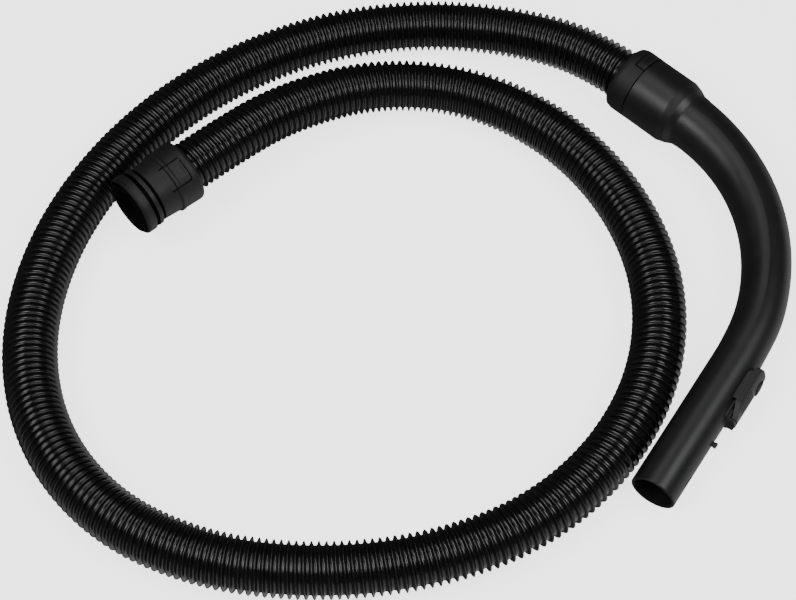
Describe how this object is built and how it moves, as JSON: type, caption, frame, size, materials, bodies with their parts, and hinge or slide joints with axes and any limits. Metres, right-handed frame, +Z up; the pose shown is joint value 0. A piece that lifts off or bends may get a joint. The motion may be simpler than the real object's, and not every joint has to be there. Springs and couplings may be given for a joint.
{
  "type": "vacuum cleaner hose",
  "caption": "Corrugated canister-vacuum suction hose laid in a loose spiral, with a swivelling clip-in machine connector and a bent swivelling hand tube with an air regulator slider.",
  "frame": {"origin": "centre of the fittings' box on the plane that the hose lies on (the free hose itself is left out of that box)", "axes": "+Z up from that plane; +X along the longest extent of the fittings, from the machine connector towards the hand tube; +Y away from the open side of the spiral"},
  "size_m": [0.5767, 0.5092, 0.0609],
  "materials": {
    "hose_rubber": "glossy black corrugated EVA",
    "handle_plastic": "satin black moulded",
    "connector_plastic": "matte black, fine spark texture",
    "slider_plastic": "satin black moulded, ribbed",
    "inner_plastic": "dark grey, plain",
    "slip_plastic": "natural low-friction plastic",
    "seal_rubber": "soft black rubber",
    "spring_steel": "spring steel strip"
  },
  "bodies": {
    "hose": {"hose": "hose_rubber", "machine_end_cuff": "inner_plastic", "machine_end_seal": "seal_rubber", "handle_end_cuff": "inner_plastic", "handle_end_seal": "seal_rubber", "handle_end_collar": "connector_plastic", "collar_lock_ring": "inner_plastic"},
    "machine_connector": {"connector_nozzle": "connector_plastic", "connector_shell": "connector_plastic", "connector_snap_ring": "inner_plastic", "swivel_washer": "slip_plastic"},
    "upper_release_tab": {"release_tab_upper": "connector_plastic"},
    "lower_release_tab": {"release_tab_lower": "connector_plastic"},
    "collar_latch": {"collar_latch_button": "connector_plastic"},
    "handle": {"hand_tube": "handle_plastic", "swivel_bush": "slip_plastic", "wand_peg": "handle_plastic", "regulator_bed": "handle_plastic", "regulator_leaf_spring": "spring_steel"},
    "air_regulator": {"regulator_slider": "slider_plastic"}
  },
  "joints": [
    {"name": "connector_swivel", "type": "hinge", "parent": "hose", "child": "machine_connector", "pos_m": [-0.22725, 0.05245, 0.036], "axis": [0.7524, 0.6587, 0], "continuous": true},
    {"name": "upper_tab_press", "type": "hinge", "parent": "machine_connector", "child": "upper_release_tab", "pos_m": [-0.20923, 0.05327, 0.05549], "axis": [-0.5704, 0.6516, 0.5], "range_deg": [0, 4], "stiffness_Nm_per_rad": 0.6},
    {"name": "lower_tab_press", "type": "hinge", "parent": "machine_connector", "child": "lower_release_tab", "pos_m": [-0.22405, 0.0702, 0.01651], "axis": [0.5704, -0.6516, -0.5], "range_deg": [0, 4], "stiffness_Nm_per_rad": 0.6},
    {"name": "latch_press", "type": "slide", "parent": "hose", "child": "collar_latch", "axis": [-0.1367, -0.1451, -0.9799], "range_m": [0, 0.0012], "stiffness_N_per_m": 1500},
    {"name": "handle_swivel", "type": "hinge", "parent": "hose", "child": "handle", "pos_m": [0.15375, 0.16065, 0.0266], "axis": [0.7278, -0.6858, 0], "continuous": true},
    {"name": "regulator_slide", "type": "slide", "parent": "handle", "child": "air_regulator", "axis": [0.55, 0.8344, 0.0361], "range_m": [0, 0.01]}
  ]
}
